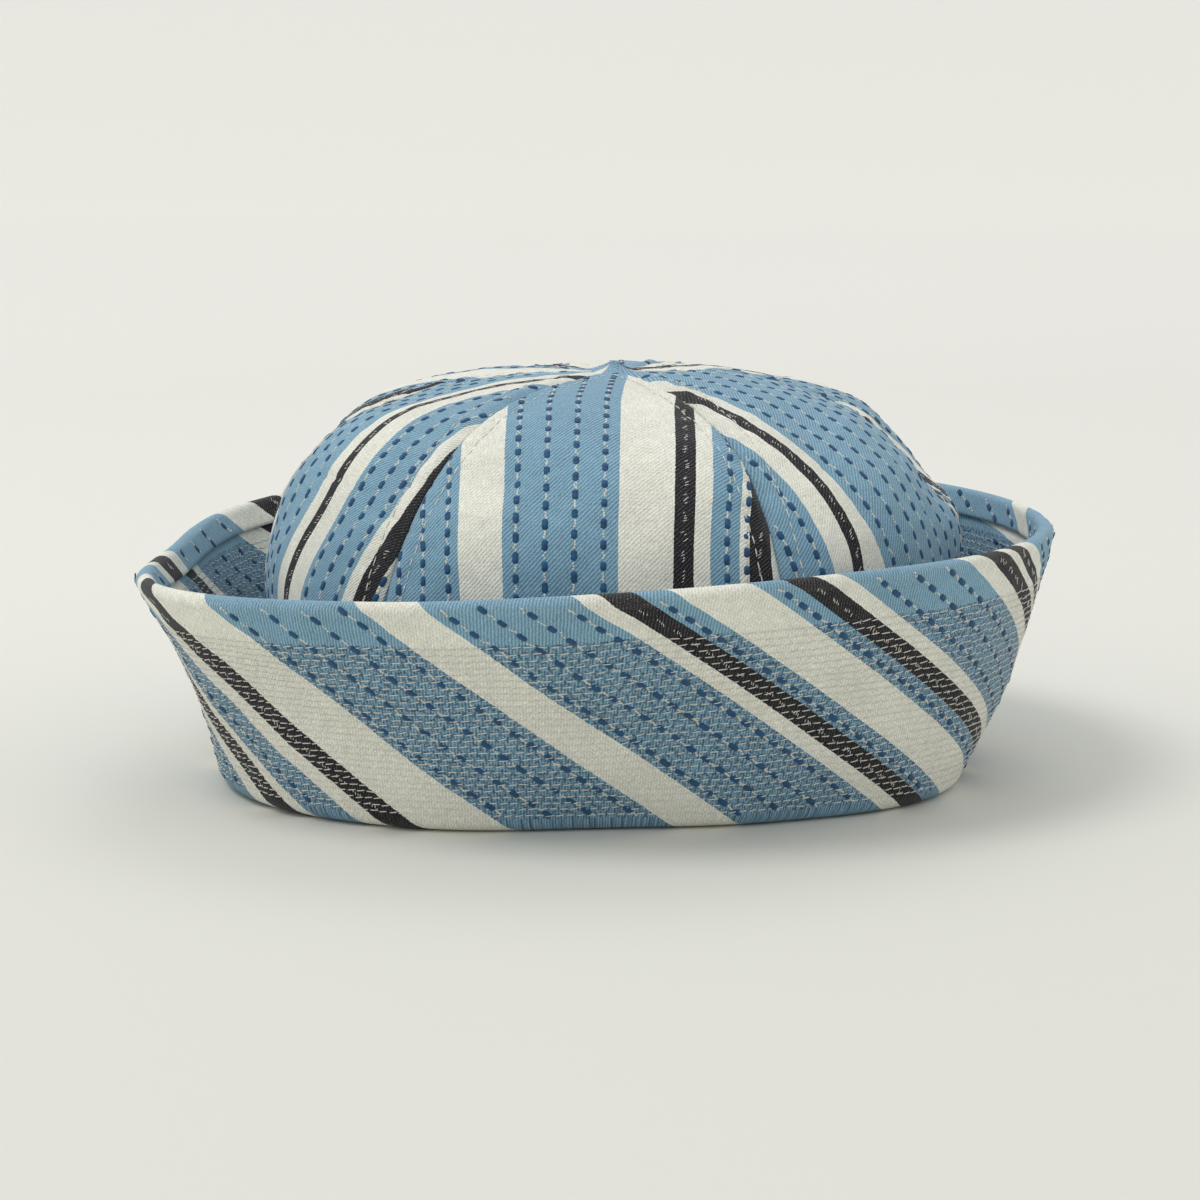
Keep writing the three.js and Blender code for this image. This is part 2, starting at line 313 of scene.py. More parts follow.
# %% Crown surface
def crown_point(azimuth, down, across):
    """A point of the smooth crown: down is 1 at the shoulder and 2 at the lower edge."""
    azimuth, down, across = np.broadcast_arrays(np.asarray(azimuth, float), down, across)
    widest = FOLD_RADIUS * plan_share("crown", azimuth)
    bulge = PANEL_BULGE * (1 - (2 * across - 1) ** 2)
    rise = np.zeros(azimuth.shape)
    for turned, low, share, width, reach in CROWN_FORMS:
        away = ((azimuth - turned) % 360 + 540) % 360 - 180
        rise = rise + FOLD_RADIUS * share * swell(away, width) * swell(down - low, reach)
    angle = np.minimum(down, 1) * np.pi / 2
    out = np.sin(angle) ** (2 / CROWN_SQUARENESS)
    up = np.maximum(np.cos(angle), 0) ** (2 / CROWN_SQUARENESS)
    radius = (widest + bulge + rise) * out
    height = mix(SHOULDER_HEIGHT, CROWN_HEIGHT, up) + (rise + bulge * out) * up
    height = height + TIP_RISE * swell(radius, TIP_RADIUS)
    fall = np.maximum(down - 1, 0)
    base = FOLD_RADIUS * plan_share("fold", azimuth) - FOLD_BEND - .5
    low_radius = mix(widest + bulge, base, ease(fall)) + rise * (1 - fall)
    low_height = mix(SHOULDER_HEIGHT, OUTER_CLOTH + PIECE_GAP, fall)
    over = down <= 1
    point = round_place(np.where(over, radius, low_radius), azimuth, np.where(over, height, low_height))
    point[..., 0] += APEX_SHIFT * np.maximum(0, 1 - np.hypot(point[..., 0], point[..., 1]) / FOLD_RADIUS)
    return point


def seam_azimuth(index, down):
    azimuth, turn = SEAMS[index % 6]
    return azimuth + 360 * (index // 6) + turn * np.minimum(down, 1) ** 2


def outward(points):
    """The unit normal of a grid of points, pointing away from the cap's middle."""
    normal = np.cross(np.gradient(points, axis=0), np.gradient(points, axis=1))
    normal /= np.maximum(np.linalg.norm(normal, axis=-1, keepdims=True), 1e-9)
    middle = points - np.array([0, 0, 20.0])
    return normal * np.sign((normal * middle).sum(-1).mean())


print("shoulder at the front:", crown_point(0, 1.0, .5).round(1))

# %% [markdown]
# ## One panel as a grid
# Seams draw the cloth in, the turned-in edges under the topstitching make a low welt beside each seam, and the
# thread puckers the cloth across it. Painted bumps could fake that, but a seam also dents the cap's outline. So
# each of these forms moves the grid's points along their normals, and the grid is finer near the seams.

# %% Panel grids
WELT_WIDTH, WELT_RISE, SEAM_SINK, TOPSTITCH_SINK = 5.6, .34, .95, .22
PUCKER_RISE, PUCKER_PITCH, CREASE_DEPTH = .2, 8.2, .5
LUMP_RISE, LUMP_REACH, LUMP_PLACE = 1.05, 6.5, (APEX_SHIFT - .7, 1.6)
PANEL_ROWS, PANEL_COLUMNS, SIDE_ROWS = 104, 77, 26
PANEL_MIDDLE = PANEL_COLUMNS // 2


def panel_surface(index):
    """One panel's outer face as a grid, with its cloth coordinates, distance from the seams, and normals."""
    downs = np.concatenate([mix(.0002, 1, np.linspace(0, 1, PANEL_ROWS - SIDE_ROWS) ** 1.12),
                            1 + np.linspace(0, 1, SIDE_ROWS + 1)[1:]])
    edge_first = np.linspace(-1, 1, PANEL_COLUMNS)
    acrosses = .5 + .5 * np.sin(edge_first * np.pi / 2) * .35 + .5 * edge_first * .65
    down, across = np.meshgrid(downs, acrosses, indexing="ij")
    smooth = crown_point(mix(seam_azimuth(index - 1, down), seam_azimuth(index, down), across), down, across)
    line = smooth[:, PANEL_MIDDLE]
    length = run_along(line) + np.hypot(line[0, 0] - APEX_SHIFT, line[0, 1])
    step = np.linalg.norm(np.diff(smooth, axis=1), axis=2)
    side = np.concatenate([np.zeros((len(downs), 1)), np.cumsum(step, 1)], 1)
    edge = np.minimum(side, side[:, -1:] - side)
    side = side - side[:, PANEL_MIDDLE:PANEL_MIDDLE + 1]
    room = np.clip(side[:, -1:] / 12, 0, 1)
    radius = np.hypot(line[:, 0], line[:, 1])
    curve = np.maximum(np.gradient(radius, length) / np.maximum(radius, .5), 1e-5)[:, None]
    along = length[:, None]
    cloth = pile(np.sin(curve * side) / curve, along - (1 - np.cos(curve * side)) / curve)
    welt = WELT_RISE * swell(edge - WELT_WIDTH / 2, 3.6) - SEAM_SINK * np.exp(-(edge / 1.5) ** 2)
    topstitch = -TOPSTITCH_SINK * np.exp(-((edge - WELT_WIDTH) / .8) ** 2)
    waves = np.sin(2 * np.pi * along / PUCKER_PITCH + 2.2 * wander(smooth, 30, 5))
    pucker = PUCKER_RISE * waves * np.exp(-(edge / 13) ** 2) * np.clip(edge / 2.5, 0, 1)
    dents = .75 * wander(smooth, 46, 21) + .3 * wander(smooth, 21, 22) + .1 * wander(smooth, 9, 23)
    creases = CREASE_DEPTH * np.exp(-np.abs(wander(smooth * np.array([1, 1, 2.2]), 44, 31)) / .09)
    relief = room * (welt + topstitch + pucker) + dents * np.clip(along / 25, 0, 1)
    relief = relief - creases * swell(downs - .62, .5)[:, None]
    normal = outward(smooth)
    raised = smooth + normal * relief[..., None]
    from_lump = np.hypot(smooth[..., 0] - LUMP_PLACE[0], smooth[..., 1] - LUMP_PLACE[1])
    raised[..., 2] += LUMP_RISE * swell(from_lump, LUMP_REACH) ** .45
    return raised, cloth, edge, normal


print("panel 6 spans", round(float(np.ptp(panel_surface(6)[1][..., 0]))), "mm of cloth")

# %% [markdown]
# ## Helpers that make meshes
# A sheet of cloth is an outer grid and an inner grid joined round their edges; the cuff is a ring whose profile
# closes on itself. Both come out as closed bodies with real thickness. Long lists of points are handed to
# Blender at once, which is far quicker than adding faces one by one.

# %% Mesh helpers
def make_piece(name, points, faces, wear=None, **coordinates):
    """A closed mesh from points in millimetres and faces, with a UV map for each set of coordinates."""
    mesh = bpy.data.meshes.new(name)
    mesh.vertices.add(len(points))
    mesh.vertices.foreach_set("co", ((points - PLAN_CENTRE) / 1000).astype(np.float32).ravel())
    mesh.loops.add(faces.size)
    mesh.loops.foreach_set("vertex_index", faces.ravel().astype(np.int32))
    mesh.polygons.add(len(faces))
    mesh.polygons.foreach_set("loop_start", np.arange(0, faces.size, faces.shape[1], dtype=np.int32))
    mesh.update(calc_edges=True)
    mesh.validate()
    for map_name, places in coordinates.items():
        layer = mesh.uv_layers.new(name=map_name)
        layer.data.foreach_set("uv", places.astype(np.float32).ravel())
    if wear is not None:
        worn = mesh.attributes.new("wear", "FLOAT", "POINT")
        worn.data.foreach_set("value", wear.astype(np.float32).ravel())
    mesh.polygons.foreach_set("use_smooth", np.full(len(mesh.polygons), True))
    skin = bmesh.new()
    skin.from_mesh(mesh)
    bmesh.ops.recalc_face_normals(skin, faces=skin.faces)
    skin.to_mesh(mesh)
    skin.free()
    return place_in_scene(name, mesh)


def grid_quads(rows, columns, first=0, flip=False, wrap=False):
    row, column = np.meshgrid(np.arange(rows - 1), np.arange(columns if wrap else columns - 1), indexing="ij")
    a, b = row * columns + column, row * columns + (column + 1) % columns
    quads = np.stack([a, b, b + columns, a + columns], -1).reshape(-1, 4) + first
    return quads[:, ::-1] if flip else quads


def sheet_piece(name, outer, inner, cloth, wear):
    """Cloth with thickness: the outer grid, the inner grid, and a strip round the edge."""
    rows, columns = outer.shape[:2]
    count = rows * columns
    index = np.arange(count).reshape(rows, columns)
    rim = np.concatenate([index[0, :-1], index[:-1, -1], index[-1, :0:-1], index[:0:-1, 0]])
    after = np.roll(rim, -1)
    faces = np.concatenate([grid_quads(rows, columns), grid_quads(rows, columns, count, flip=True),
                            np.stack([after, rim, rim + count, after + count], -1)])
    coordinates = np.concatenate([cloth, cloth]).reshape(-1, 2)[faces.ravel()]
    return make_piece(name, np.concatenate([outer, inner]).reshape(-1, 3), faces,
                      np.concatenate([wear, wear]), cloth=coordinates)


print("mesh helpers ready")

# %% [markdown]
# ## The cuff's outer cloth
# One strip of cloth makes the whole outer side: a hem turned under at the bottom, the quilted wall, a round roll
# at the rim, and a lip turned down inside. A curve could be swept round the head, but this profile changes all
# the way round, so it is worked out at every azimuth. The wall gets a row of points every half millimetre, so
# that each groove has its own shape.

# %% Cuff profile
CUFF_COLUMNS, WALL_ROWS, BEND_ROWS, ROLL_ROWS, LIP_ROWS = 584, 116, 5, 8, 8
FOOT_SLANT, LIP_TUCK, ABOVE_ROWS = 5.5, .25, -3.0
cuff_azimuths = -180 + 360 * np.arange(CUFF_COLUMNS) / CUFF_COLUMNS
seam_azimuths = np.append(cuff_azimuths, 180 - 1e-6)


def bend_point(azimuth, turn, rise):
    """A point round the bottom fold, risen so far off its outer face."""
    fold = FOLD_RADIUS * plan_share("fold", azimuth)
    reach = FOLD_BEND + rise
    return round_place(fold - FOLD_BEND + reach * np.cos(turn), azimuth, FOLD_BEND + reach * np.sin(turn))


def cuff_round_inside(azimuth, share, depth):
    """A point of the cloth where it isn't quilted, a little uneven."""
    return wall_place(azimuth, share, depth - .15 * wander(wall_place(azimuth, share, depth), 16.0, 61))


def profile_grid(rows):
    """The rows of a profile as a grid of points, and their slants with one more column, for the join."""
    slants = np.stack([np.broadcast_to(slant, cuff_azimuths.shape) for _, slant in rows])
    return np.stack([points for points, _ in rows]), np.concatenate([slants, slants[:, :1]], 1)


def cuff_profile(azimuth):
    """The closed profile of the outer cloth, as points, and the slant at each for the stripes."""
    tilt, slant = wall_frame(azimuth)[3], slant_length(azimuth)
    hem_radius = FOLD_RADIUS * plan_share("fold", azimuth) - FOLD_BEND - HEM_WIDTH
    rows = [(round_place(hem_radius, azimuth, 0.0), -HEM_WIDTH)]
    foot_relief = quilted(azimuth, 0, cuff_face(azimuth, 0), OUTER_SEED)
    for t in np.arange(BEND_ROWS) / BEND_ROWS:
        rows.append((bend_point(azimuth, mix(-np.pi / 2, -tilt, t), foot_relief * t**2), FOOT_SLANT * t))
    for share in np.linspace(0, 1, WALL_ROWS):
        rows.append((cuff_face(azimuth, share), FOOT_SLANT + slant * share))
    roll, top_slant = RIM_WIDTH / 2, FOOT_SLANT + slant
    radius, height = wall_point(azimuth, 1, roll)
    outer_radius, outer_height = wall_point(azimuth, 1)
    out, up = (outer_radius - radius) / roll, (outer_height - height) / roll
    rim = quilted(azimuth, 1, cuff_face(azimuth, 1), OUTER_SEED)
    for turn in np.pi * np.arange(1, ROLL_ROWS) / ROLL_ROWS:
        reach = roll + rim * np.maximum(np.cos(turn), 0)
        across, along = reach * np.cos(turn), reach * np.sin(turn)
        rolled = round_place(radius + across * out - along * up, azimuth, height + across * up + along * out)
        rows.append((rolled, top_slant + turn * roll))
    for down in np.linspace(0, WRAP_LENGTH, LIP_ROWS):
        depth = RIM_WIDTH - (LIP_TUCK if down == WRAP_LENGTH else 0)
        rows.append((cuff_round_inside(azimuth, 1 - down / slant, depth), top_slant + np.pi * roll + down))
    behind_lip = (1 - WRAP_LENGTH / slant, 1 - 4 / slant, 1)
    for depth, shares in ((RIM_WIDTH - INNER_CLOTH, behind_lip), (OUTER_CLOTH, (1, .6, .3, 0))):
        rows += [(cuff_round_inside(azimuth, share, depth), top_slant) for share in shares]
    for turn in (mix(-tilt, -np.pi / 2, .5), -np.pi / 2):
        rows.append((bend_point(azimuth, turn, -OUTER_CLOTH), top_slant))
    rows.append((round_place(hem_radius, azimuth, OUTER_CLOTH), top_slant))
    return profile_grid(rows)


outer_points, outer_slant = cuff_profile(cuff_azimuths)
print("points round the cuff's profile:", len(outer_points))


# %% Cuff outer
def ring_piece(name, points, cloth, quilt_rows, wear):
    """A ring from a closed profile. Its coordinates have one more column, so they don't jump at the join."""
    rows, columns = points.shape[:2]
    faces = grid_quads(rows + 1, columns, wrap=True) % (rows * columns)
    row, column = np.divmod(np.arange(rows * columns), columns)
    corner = row * (columns + 1) + column
    loops = np.stack([corner, corner + 1, corner + columns + 2, corner + columns + 1], -1).ravel()
    read = lambda grid: np.concatenate([grid, grid[-1:]]).reshape(-1, 2)[loops]
    quilt = pile(stitch_of(seam_azimuths), quilt_rows[:, None])
    return make_piece(name, points.reshape(-1, 3), faces, wear, cloth=read(cloth), quilt=read(quilt))


outer_cloth = cuff_cloth(seam_azimuths, outer_slant)
wall_first = 1 + BEND_ROWS
rim_first = wall_first + WALL_ROWS
outer_rows = np.full(len(outer_points), ABOVE_ROWS)
outer_rows[:wall_first] = row_of(0.0)
outer_rows[wall_first:rim_first] = row_of(np.linspace(0, 1, WALL_ROWS))
rim_wear = np.zeros(outer_points.shape[:2])
rim_wear[rim_first - 2:rim_first + ROLL_ROWS] = 1.0
rim_wear[:3] = .7
cuff_outer = ring_piece("cuff_outer_cloth", outer_points, outer_cloth, outer_rows, rim_wear)
print("cuff outer has", len(cuff_outer.data.polygons), "faces")

# %% [markdown]
# ## The cuff's inner cloth
# Inside, a second layer shows from the lip down to the crown. It is quilted by the same rows, since the needle
# goes through both layers. Its stripes slant on the left and lie almost level on the right. Two flat maps give
# those, and one soft blend joins them across the front, which nobody sees from outside.

# %% Cuff inner
INNER_DEPTH = OUTER_CLOTH + PIECE_GAP + INNER_CLOTH
INNER_ROWS, INNER_TOP_GAP, LIP_COVER, BLEND_GIRTH = 84, .9, 3, 360


def inner_profile(azimuth):
    """The closed profile of the inner cloth: its quilted face, flat under the lip, and its hidden back."""
    slant = slant_length(azimuth)
    top = 1 - (RIM_WIDTH - OUTER_CLOTH - INNER_CLOTH + INNER_TOP_GAP) / slant
    rows = []
    for t in np.linspace(0, 1, INNER_ROWS):
        share = top * t
        face = cuff_face(azimuth, share, INNER_DEPTH)
        tucked = cuff_round_inside(azimuth, share, INNER_DEPTH - .15)
        under_lip = np.clip((share - (1 - (WRAP_LENGTH + LIP_COVER) / slant)) * slant / 2, 0, 1)[:, None]
        rows.append((mix(face, tucked, under_lip), slant * share))
    for t in (1, .6, .3, 0):
        rows.append((cuff_round_inside(azimuth, top * t, OUTER_CLOTH + PIECE_GAP + .15), t))
    return profile_grid(rows)


inner_points, inner_slant = inner_profile(cuff_azimuths)
inner_girth = girth_at(seam_azimuths)
left_cut = pile(.77 * inner_slant - .6 * inner_girth + 162, .66 * inner_slant + .7 * inner_girth)
right_cut = pile(.993 * inner_slant - .12 * inner_girth + 16.4, .12 * inner_slant + .993 * inner_girth)
toward_right = np.clip(inner_girth / BLEND_GIRTH + .5, 0, 1)[:, None]
inner_cloth = mix(left_cut, right_cut, ease(toward_right))
inner_rows = np.zeros(len(inner_points))
inner_rows[:INNER_ROWS] = row_of(np.linspace(0, .94, INNER_ROWS))
cuff_inner = ring_piece("cuff_inner_cloth", inner_points, inner_cloth, inner_rows,
                        np.zeros(inner_points.shape[:2]))
print("cuff inner has", len(cuff_inner.data.polygons), "faces")

# %% [markdown]
# ## The crown panels
# Six panels, each a sheet of cloth with thickness. The front panel's stripes stand upright, and the side panels
# were cut from other parts of the cloth, so each panel has its own table from its width to the cloth's stripes.
# A panel whose stripes run the other way was turned half round on the cloth, so its length counts backward too,
# and the twill leans the same way on all six.

# %% Crown panels
PANEL_CUTS = {
    1: ([-70, -34.3, -28.2, -24.0, -19.2, 39, 70], [264.1, 300, 308.3, 312.5, 321.3, 380.5, 411.5]),
    2: ([-70, 70], [196.4, 56.4]),
    3: ([-70, 70], [-60, 80]),
    4: ([-70, 70], [150, 10]),
    5: ([-70, 8.6, 13.2, 16.2, 21.6, 38.4, 42.2, 47.4, 49.6, 70],
        [36, 116, 124.3, 128.5, 137.3, 157.3, 161.8, 167.1, 169.8, 193.3]),
    6: ([-70, 70], [59.5, -80.5]),
}
LENGTHS = [22, 28, 34, 40, 48, 60, 68, 76, 83, 90, 97, 104, 112, 122]
STRIPE_SWAY = {
    "v_tip": [9.4, 7.4, 5.8, 4.2, 3, .3, 0, 0, 0, 0, 0, 0, 0, 0],
    1: [8.5, 5.5, 3, 1.6, .8, -.5, -2.3, -2.8, -2.8, -2.3, -1.3, .8, 3.6, 4],
    5: [-8, -8, -8, -8, -8, -7, -5.5, -3.2, -1.2, -.1, -.1, -1.1, -2.5, -4.2],
    6: [-1.8, -1.8, -1.8, -1.8, -1.8, -1.1, -.7, -.2, .2, .6, .9, 1.3, 1.8, 2.3],
}


def stripe_sway(index, length):
    """How far the stripes have moved sideways at this length, read from the table as one smooth bend."""
    fine = np.linspace(LENGTHS[0], LENGTHS[-1], 201)
    table = np.interp(fine, LENGTHS, STRIPE_SWAY.get(index, [0] * len(LENGTHS)))
    window = np.hanning(23)[1:-1]
    soft = np.convolve(np.pad(table, len(window) // 2, mode="edge"), window / window.sum(), mode="valid")
    return np.interp(length, fine, soft)


def panel_cloth(index, coordinates):
    """Cloth coordinates of a panel. Its stripes sway a little along its length, as they bend over the head."""
    across, length = coordinates[..., 0], coordinates[..., 1]
    sway = stripe_sway(index, length)
    if index == 1:
        black_sway = stripe_sway("v_tip", length)
        sway = mix(black_sway, sway, np.clip((across - black_sway + 24) / 4, 0, 1))
    places, cuts = PANEL_CUTS[index]
    return pile(np.interp(across - sway, places, cuts), length * (-1 if cuts[-1] > cuts[0] else 1))


panels, surfaces = {}, {}
for index in range(1, 7):
    points, flat, edge, normal = panel_surface(index)
    cloth = panel_cloth(index, flat)
    name = f"crown_panel_{index}_cloth"
    panels[index] = sheet_piece(name, points, points - normal * CROWN_CLOTH, cloth, np.exp(-(edge / 2.0) ** 2))
    surfaces[index] = (points, cloth, edge, normal)
    print(name, len(panels[index].data.polygons), "faces")

# %% [markdown]
# ## Stitches and woven dashes
# A stitch is a short thread that comes up, lies on the cloth and dives back in. The dashes are longer woven
# floats that sit a little proud. Both are tapered rods, far too many to model one by one, so one small rod is
# copied to every place by array arithmetic. They are real geometry, so they catch the light and cast shadow.

# %% Rods
def rods(name, spots, lengths, width, height, sides, cuts):
    """Tapered rods. A spot holds a centre, a direction and a normal. A cut is a place along the rod, from -1
    to 1, and its share of the full width; the ends are closed by points."""
    centres, alongs, normals = np.split(spots, 3, axis=1)
    alongs = unit(alongs)
    acrosses = unit(np.cross(alongs, normals))
    lifts = np.cross(acrosses, alongs)
    lifts *= np.sign((lifts * normals).sum(1, keepdims=True))
    half = lengths[:, None] / 2 * alongs
    points = [centres - half - lifts * height * .5]
    for place, share in cuts:
        sink = -height * .35 * abs(place) ** 3
        for turn in 2 * np.pi * (np.arange(sides) + .5) / sides:
            points.append(centres + half * place + acrosses * np.cos(turn) * width / 2 * share
                          + lifts * (np.sin(turn) * height / 2 * share + sink))
    points.append(centres + half - lifts * height * .5)
    each, last = len(points), 1 + sides * (len(cuts) - 1)
    triangles = []
    for side in range(sides):
        after = (side + 1) % sides
        triangles += [(0, 1 + after, 1 + side), (each - 1, last + side, last + after)]
        for a in range(1, last, sides):
            low, far = a + side, a + sides + after
            triangles += [(low, a + after, far), (low, far, low + sides)]
    faces = (np.array(triangles) + np.arange(len(spots))[:, None, None] * each).reshape(-1, 3)
    along = np.concatenate([[-1], np.repeat([place for place, _ in cuts], sides), [1]])
    run = (lengths[:, None] / 2 * along).ravel()
    print(name, len(spots), "rods,", len(faces), "triangles")
    return make_piece(name, np.stack(points, 1).reshape(-1, 3), faces, cloth=pile(run, 0)[faces.ravel()])


# %% [markdown]
# ## Quilting thread
# Every row has the same number of stitches, shifted by part of a stitch from the row above. Each lies in its
# groove and rises a little to the right, and each is a little uneven in length, as a worn machine sews.

# %% Quilting stitches
OUTER_STITCH_ROWS, INNER_STITCH_ROWS = int(row_of(0.0)) + 1, 18
THREAD_LIFT, LENGTH_RADIUS = .19, 108


def quilting(name, rows, depth, seed):
    draw = np.random.default_rng(seed)
    side = 1.0 if depth == 0 else -1.0
    spots, lengths = [], []
    for row in range(rows):
        number = np.arange(STITCHES_ROUND) + .5 - ROW_OFFSET * row
        girth = (number / STITCHES_ROUND * CUFF_ROUND - MIDDLE_GIRTH[0]) % CUFF_ROUND
        azimuth = np.interp(girth + MIDDLE_GIRTH[0], MIDDLE_GIRTH, ROUND)
        share = TOP_ROW_SHARE - row / ROWS_PER_SHARE + draw.normal(0, .0016, STITCHES_ROUND)
        azimuth = azimuth + draw.normal(0, .06, STITCHES_ROUND)
        here = cuff_face(azimuth, share, depth)
        beside = unit(cuff_face(azimuth + .4, share, depth) - cuff_face(azimuth - .4, share, depth))
        above = unit(cuff_face(azimuth, share + .02, depth) - cuff_face(azimuth, share - .02, depth))
        normal = np.cross(beside, above) * side
        slope = draw.normal(.13, .07, (STITCHES_ROUND, 1))
        spots.append(np.hstack([here + normal * THREAD_LIFT, beside + above * slope, normal]))
        size = np.linalg.norm(here[:, :2], axis=1) / LENGTH_RADIUS
        lengths.append(draw.uniform(2.5, 2.95, STITCHES_ROUND) * size)
    return rods(name, np.concatenate(spots), np.concatenate(lengths),
                width=.36, height=.3, sides=4, cuts=[(-.66, .85), (.66, .85)])


quilt_outer = quilting("cuff_outer_stitch_rows", OUTER_STITCH_ROWS, 0.0, 71)
quilt_inner = quilting("cuff_inner_stitch_rows", INNER_STITCH_ROWS, INNER_DEPTH, 72)

# %% [markdown]
# ## Topstitching on the crown
# A row of finer thread runs on both sides of every seam and holds the turned-in edges down. Its line could be
# drawn by hand, but every row of a panel's grid knows its distance from the seam. So we read where that distance
# equals the welt's width, join those places into a line, and set stitches along it at an even pitch.

# %% Topstitching
STITCH_PITCH, STITCH_INSET = 3.3, 1.7


def crown_topstitch():
    draw = np.random.default_rng(81)
    spots, lengths = [], []
    for points, _, edge, normal in surfaces.values():
        both = np.concatenate([points, normal], -1)
        wide = np.flatnonzero(edge[:, PANEL_MIDDLE] >= WELT_WIDTH + .5)
        for columns in (np.arange(PANEL_MIDDLE + 1), np.arange(PANEL_COLUMNS - 1, PANEL_MIDDLE - 1, -1)):
            line = np.array([[np.interp(WELT_WIDTH, edge[row, columns], part) for part in both[row, columns].T]
                             for row in wide])
            length = run_along(line[:, :3])
            read = lambda places: np.stack([np.interp(places, length, column) for column in line.T], -1)
            at = np.arange(STITCH_INSET, length[-1] - 2, STITCH_PITCH)
            here, way = read(at), read(at + .8) - read(at - .8)
            normals = unit(here[:, 3:])
            spots.append(np.hstack([here[:, :3] + normals * .12, way[:, :3], normals]))
            lengths.append(draw.uniform(2.3, 2.9, len(at)))
    return rods("crown_topstitching", np.concatenate(spots), np.concatenate(lengths),
                width=.36, height=.34, sides=6, cuts=[(-.7, .75), (0, 1), (.7, .75)])


topstitching = crown_topstitch()

# %% [markdown]
# ## The striped cloth
# The cloth repeats a fixed order of stripes. Blue stripes carry rows of dark dashes about seven millimetres
# apart, and narrow white ones carry a single row. One table says where the stripes start and how wide each is,
# and both the colours and the places of the dashes are read from it, so they can't disagree.

# %% Stripe tables
TICKING = (-56.3, [
    (5.3, "black"), (2.7, "dashed"), (7.7, "blue"), (4.1, "white"), (5.3, "black"), (14.0, "white"),
    (27.6, "blue"), (10.9, "white"), (27.6, "blue"), (4.2, "white"), (5.2, "black"), (5.5, "blue"),
    (13.5, "white"), (5.5, "blue"), (5.0, "black"), (4.0, "white"), (24.2, "blue"), (8.3, "white"),
    (4.2, "black"), (8.8, "white"), (20.0, "blue"), (4.5, "white")])
CUFF_TICKING = (-147.6, [
    (10.9, "white"), (27.6, "blue"), (6.0, "white"), (5.2, "black"), (9.0, "white"), (27.6, "blue"),
    (3.2, "white"), (6.8, "black"), (1.6, "white"), (9.1, "blue"), (4.1, "white"), *TICKING[1][4:17],
    (6.5, "white"), (5.2, "black"), (3.2, "white"), (4.2, "black"), (4.5, "white"), (41.4, "blue"),
    (6.4, "white"), (27.6, "blue")])
SIDE_TICKING = (264.1, [
    (35.9, "blue"), (8.3, "white"), (4.2, "black"), (8.8, "white"), (57.2, "blue"), (4.2, "white"),
    (5.2, "black"), (5.5, "blue"), (13.5, "white")])
DASH_SPACING, DASH_PITCH, DASH_SHIFT = 7.1, 5.3, 0.5


def repeat_of(stripes):
    return sum(width for width, _ in stripes)


def woven_rows(ticking, low, high, kinds):
    """Where the rows of one kind of float are across the cloth, from low to high."""
    start, stripes = ticking
    period = repeat_of(stripes)
    rows = []
    for turn in range(math.floor((low - start) / period), math.ceil((high - start) / period)):
        edge = start + turn * period
        for width, kind in stripes:
            count = max(1, round((width - 2) / DASH_SPACING)) if kind == "blue" else 1
            first = edge + width / 2 - DASH_SPACING * (count - 1) / 2 + (DASH_SHIFT if count > 1 else 0)
            if kind in kinds:
                rows += [first + DASH_SPACING * k for k in range(count)]
            edge += width
    return [row for row in rows if low <= row <= high]


print("the cloth repeats every", round(repeat_of(TICKING[1]), 1), "mm")

# %% [markdown]
# ## Placing the dashes
# A dash is known by its place on the flat cloth. To find it on the curved piece, we take the nearest point of
# the piece's grid and step from there along the surface by what is left over. Where two finds are one dash, or
# nearly touch, only the first is kept.

# %% Finding the dashes
NEAR, APART = 1.6, 2.2


def lay_floats(points, cloth, ticking, allowed, seed, kinds=("blue", "dashed"), lift=.03, offset=0.0):
    """Spots of the floats on a grid of points with cloth coordinates: centres, directions and normals."""
    draw = np.random.default_rng(seed)
    by_row, by_column = np.gradient(points, axis=(0, 1))
    cloth_row, cloth_column = np.gradient(cloth, axis=(0, 1))
    size = cloth_row[..., 0] * cloth_column[..., 1] - cloth_row[..., 1] * cloth_column[..., 0]
    size = np.where(np.abs(size) < 1e-6, 1e-6, size)[..., None]
    per_across = (by_row * cloth_column[..., 1:] - by_column * cloth_row[..., 1:]) / size
    per_along = (by_column * cloth_row[..., :1] - by_row * cloth_column[..., :1]) / size
    normal = outward(points)
    found = []
    for number, row in enumerate(woven_rows(ticking, cloth[..., 0].min(), cloth[..., 0].max(), kinds)):
        phase = DASH_PITCH * (.5 * (number % 2) + .08 * draw.normal() + offset)
        step = np.round((cloth[..., 1] - phase) / DASH_PITCH)
        across, along = row - cloth[..., 0], step * DASH_PITCH + phase - cloth[..., 1]
        far = np.hypot(across, along)
        near = np.argwhere(far < NEAR)
        if not len(near):
            continue
        near = near[np.argsort(far[near[:, 0], near[:, 1]])]
        keys = np.stack([step[near[:, 0], near[:, 1]], near[:, 1] // (points.shape[1] // 3)], 1)
        for r, c in near[np.unique(keys, axis=0, return_index=True)[1]]:
            if allowed[r, c]:
                place = points[r, c] + per_across[r, c] * across[r, c] + per_along[r, c] * along[r, c]
                found.append(np.concatenate([place + normal[r, c] * lift, per_along[r, c], normal[r, c]]))
    found = np.array(found)
    found = found[np.lexsort(found[:, :3].T)]
    gaps = [np.linalg.norm(found[max(0, spot - 40):spot, :3] - found[spot, :3], axis=1).min(initial=2 * APART)
            for spot in range(len(found))]
    return found[np.array(gaps) > APART]


print("a dash is looked for within", NEAR, "mm of a grid point")

